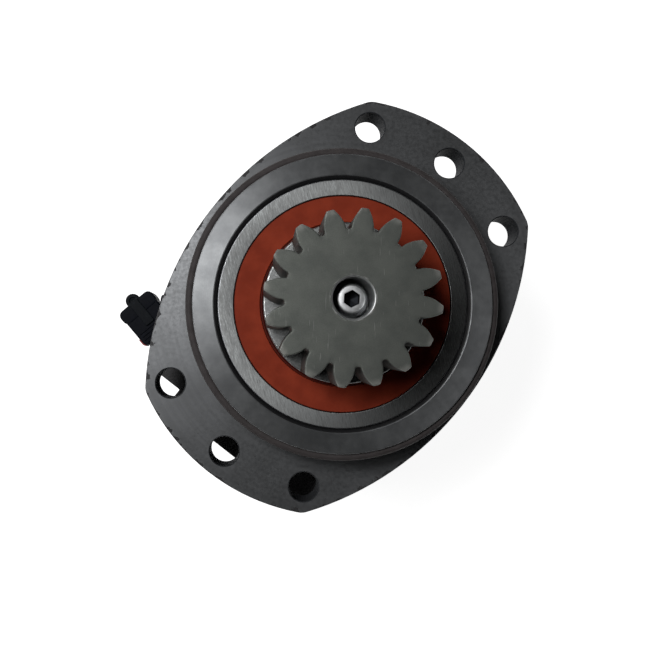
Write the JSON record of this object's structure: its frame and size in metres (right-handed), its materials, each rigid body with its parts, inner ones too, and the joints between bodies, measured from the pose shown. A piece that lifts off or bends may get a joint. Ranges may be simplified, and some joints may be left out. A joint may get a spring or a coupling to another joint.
{
  "type": "hydraulic drive motor",
  "caption": "Hydraulic drive motor with a flanged housing, a pilot, a toothed output pinion, a shaft seal, a speed sensor and an orbiting rotor set behind.",
  "frame": {"origin": "on the shaft's axis, in the flange's mounting face", "axes": "+Z along the shaft towards the pinion; +X towards the picture's right side, and the speed sensor's plug points to -X"},
  "size_m": [0.269, 0.2663, 0.2845],
  "materials": {
    "cast_iron": "machined, satin",
    "bearing_steel": "ground, fine radial brushing",
    "gear_steel": "matte phosphated steel",
    "shaft_steel": "ground",
    "plated_steel": "bright plated",
    "dark_steel": "black oxide",
    "seal_rubber": "matte brick orange",
    "oring_rubber": "matte dark brown",
    "bronze": "machined",
    "black_plastic": "fine grain",
    "red_plastic": "fine grain"
  },
  "bodies": {
    "casing": {"housing": "cast_iron", "pilot_oring": "oring_rubber", "shaft_seal": "seal_rubber", "front_bearing_outer": "bearing_steel", "rear_bearing_outer": "bearing_steel", "bearing_spacer": "shaft_steel", "wear_plate": "bronze", "stator_ring": "cast_iron", "stator_rollers": "bearing_steel", "manifold_plate": "cast_iron", "commutator_ring": "cast_iron", "end_cover": "cast_iron", "cover_bolts": "dark_steel", "section_orings": "oring_rubber", "speed_sensor": "plated_steel", "sensor_screw": "plated_steel", "sensor_connector": "black_plastic", "sensor_lock": "red_plastic", "drain_plug": "plated_steel", "relief_valve_a": "plated_steel", "relief_valve_b": "plated_steel"},
    "shaft": {"output_shaft": "shaft_steel", "pinion": "gear_steel", "pinion_washer": "plated_steel", "pinion_screw": "plated_steel", "front_bearing_inner": "bearing_steel", "rear_bearing_inner": "bearing_steel", "bearing_locknut": "shaft_steel", "tone_ring": "shaft_steel"},
    "front_rollers": {"front_bearing_rollers": "bearing_steel", "front_bearing_cage": "bronze"},
    "rear_balls": {"rear_bearing_balls": "bearing_steel", "rear_bearing_cage": "bronze"},
    "valve_disc": {"commutator": "bearing_steel", "commutator_seal": "oring_rubber"},
    "star": {"star_rotor": "bearing_steel"},
    "link": {"drive_link": "shaft_steel"}
  },
  "joints": [
    {"name": "shaft_spin", "type": "hinge", "parent": "casing", "child": "shaft", "pos_m": [0, 0, 0], "axis": [0, 0, 1], "continuous": true},
    {"name": "front_roller_set", "type": "hinge", "parent": "casing", "child": "front_rollers", "pos_m": [0, 0, 0.006], "axis": [0, 0, 1], "continuous": true},
    {"name": "rear_ball_set", "type": "hinge", "parent": "casing", "child": "rear_balls", "pos_m": [0, 0, -0.08], "axis": [0, 0, 1], "continuous": true},
    {"name": "valve_orbit", "type": "hinge", "parent": "casing", "child": "valve_disc", "pos_m": [0, 0, -0.168], "axis": [0, 0, 1], "continuous": true},
    {"name": "star_spin", "type": "hinge", "parent": "valve_disc", "child": "star", "pos_m": [0.0038, 0, -0.133], "axis": [0, 0, 1], "continuous": true},
    {"name": "link_spin", "type": "hinge", "parent": "valve_disc", "child": "link", "pos_m": [0, 0, -0.084], "axis": [-0.0773, 0, 0.997], "continuous": true}
  ],
  "couplings": [
    {"joint": "front_roller_set", "follows": "shaft_spin", "ratio": 0.45703},
    {"joint": "rear_ball_set", "follows": "shaft_spin", "ratio": 0.42244},
    {"joint": "valve_orbit", "follows": "shaft_spin", "ratio": -6},
    {"joint": "star_spin", "follows": "shaft_spin", "ratio": 7},
    {"joint": "link_spin", "follows": "shaft_spin", "ratio": 7}
  ]
}
